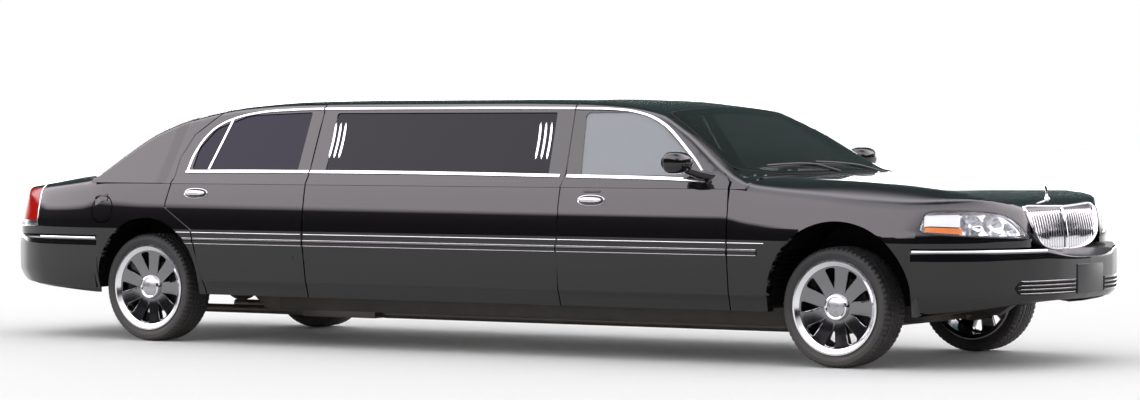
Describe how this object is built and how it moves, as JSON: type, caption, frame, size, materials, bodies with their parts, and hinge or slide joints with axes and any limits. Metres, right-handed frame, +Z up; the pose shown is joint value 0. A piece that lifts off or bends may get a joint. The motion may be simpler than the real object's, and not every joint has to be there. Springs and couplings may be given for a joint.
{
  "type": "stretch limousine",
  "caption": "Long black four-door passenger car with a lengthened cabin, hinged doors, hood and boot lid, steered front wheels and turning wheels.",
  "frame": {"origin": "on the ground under the middle of the car", "axes": "+X to the front of the car, +Y to its left, +Z up"},
  "size_m": [7.198, 2.25, 1.4779],
  "materials": {
    "black_paint": "glossy black clearcoat",
    "tinted_glass": "dark tinted",
    "clear_lens": "clear",
    "red_lens": "gloss",
    "chrome_trim": "polished",
    "polished_aluminium": "polished",
    "tyre_rubber": "satin",
    "underbody_steel": "matt black",
    "cast_iron": "rough",
    "exhaust_steel": "dull",
    "interior_plastic": "matt",
    "black_leather": "satin",
    "dark_wood": "satin"
  },
  "bodies": {
    "car_body": {"bar_cabinet": "dark_wood", "chassis_frame": "underbody_steel", "cowl_firewall": "underbody_steel", "dashboard": "interior_plastic", "engine_block": "cast_iron", "exhaust_system": "exhaust_steel", "extension_sides": "black_paint", "extension_windows": "tinted_glass", "floor_pan": "underbody_steel", "front_bumper": "black_paint", "front_fenders": "black_paint", "front_seats": "black_leather", "front_suspension": "underbody_steel", "fuel_tank": "underbody_steel", "grille": "chrome_trim", "headlamps": "clear_lens", "partition": "interior_plastic", "quarter_panels": "black_paint", "rear_axle": "underbody_steel", "rear_bumper": "black_paint", "rear_seats": "black_leather", "rear_window": "tinted_glass", "roof_panel": "black_paint", "tail_lamps": "red_lens", "windscreen": "tinted_glass"},
    "front_door_body_right": {"front_door_right": "black_paint", "front_door_glass_right": "tinted_glass", "door_mirror_right": "black_paint"},
    "rear_door_body_right": {"rear_door_right": "black_paint", "rear_door_glass_right": "tinted_glass"},
    "front_wheel_right": {"rim_front_right": "polished_aluminium", "tyre_front_right": "tyre_rubber"},
    "rear_wheel_right": {"rim_rear_right": "polished_aluminium", "tyre_rear_right": "tyre_rubber"},
    "knuckle_right": {"steering_knuckle_right": "cast_iron"},
    "front_door_body_left": {"front_door_left": "black_paint", "front_door_glass_left": "tinted_glass", "door_mirror_left": "black_paint"},
    "rear_door_body_left": {"rear_door_left": "black_paint", "rear_door_glass_left": "tinted_glass"},
    "front_wheel_left": {"rim_front_left": "polished_aluminium", "tyre_front_left": "tyre_rubber"},
    "rear_wheel_left": {"rim_rear_left": "polished_aluminium", "tyre_rear_left": "tyre_rubber"},
    "knuckle_left": {"steering_knuckle_left": "cast_iron"},
    "hood_body": {"hood": "black_paint"},
    "trunk_body": {"trunk_lid": "black_paint"},
    "fuel_door_body": {"fuel_door": "black_paint"},
    "steering_wheel_body": {"steering_wheel": "interior_plastic"}
  },
  "joints": [
    {"name": "front_door_hinge_right", "type": "hinge", "parent": "car_body", "child": "front_door_body_right", "pos_m": [1.804, -0.969, 0.6], "axis": [0, 0, 1], "range_deg": [0, 65]},
    {"name": "rear_door_hinge_right", "type": "hinge", "parent": "car_body", "child": "rear_door_body_right", "pos_m": [-1.088, -0.969, 0.6], "axis": [0, 0, 1], "range_deg": [0, 65]},
    {"name": "front_door_hinge_left", "type": "hinge", "parent": "car_body", "child": "front_door_body_left", "pos_m": [1.804, 0.969, 0.6], "axis": [0, 0, -1], "range_deg": [0, 65]},
    {"name": "rear_door_hinge_left", "type": "hinge", "parent": "car_body", "child": "rear_door_body_left", "pos_m": [-1.088, 0.969, 0.6], "axis": [0, 0, -1], "range_deg": [0, 65]},
    {"name": "steering_left", "type": "hinge", "parent": "car_body", "child": "knuckle_left", "pos_m": [2.514, 0.66, 0.3265], "axis": [0, 0, 1], "range_deg": [-32, 32]},
    {"name": "steering_right", "type": "hinge", "parent": "car_body", "child": "knuckle_right", "pos_m": [2.514, -0.66, 0.3265], "axis": [0, 0, 1], "range_deg": [-32, 32]},
    {"name": "front_wheel_spin_left", "type": "hinge", "parent": "knuckle_left", "child": "front_wheel_left", "pos_m": [2.514, 0.788, 0.3265], "axis": [0, 1, 0], "continuous": true},
    {"name": "rear_wheel_spin_left", "type": "hinge", "parent": "car_body", "child": "rear_wheel_left", "pos_m": [-2.254, 0.812, 0.3265], "axis": [0, 1, 0], "continuous": true},
    {"name": "front_wheel_spin_right", "type": "hinge", "parent": "knuckle_right", "child": "front_wheel_right", "pos_m": [2.514, -0.788, 0.3265], "axis": [0, 1, 0], "continuous": true},
    {"name": "rear_wheel_spin_right", "type": "hinge", "parent": "car_body", "child": "rear_wheel_right", "pos_m": [-2.254, -0.812, 0.3265], "axis": [0, 1, 0], "continuous": true},
    {"name": "steering_wheel_turn", "type": "hinge", "parent": "car_body", "child": "steering_wheel_body", "pos_m": [1.44301, 0.38, 0.87284], "axis": [-0.9, 0, 0.436], "range_deg": [-480, 480]},
    {"name": "hood_hinge", "type": "hinge", "parent": "car_body", "child": "hood_body", "pos_m": [2.178, 0, 0.976], "axis": [0, -1, 0], "range_deg": [0, 55]},
    {"name": "trunk_hinge", "type": "hinge", "parent": "car_body", "child": "trunk_body", "pos_m": [-2.836, 0, 0.964], "axis": [0, 1, 0], "range_deg": [0, 70]},
    {"name": "fuel_door_hinge", "type": "hinge", "parent": "car_body", "child": "fuel_door_body", "pos_m": [-2.53, -0.981, 0.72], "axis": [0, 0.1057, 0.9944], "range_deg": [0, 95]}
  ],
  "couplings": [
    {"joint": "steering_right", "follows": "steering_left", "ratio": 1},
    {"joint": "steering_wheel_turn", "follows": "steering_left", "ratio": 15}
  ]
}
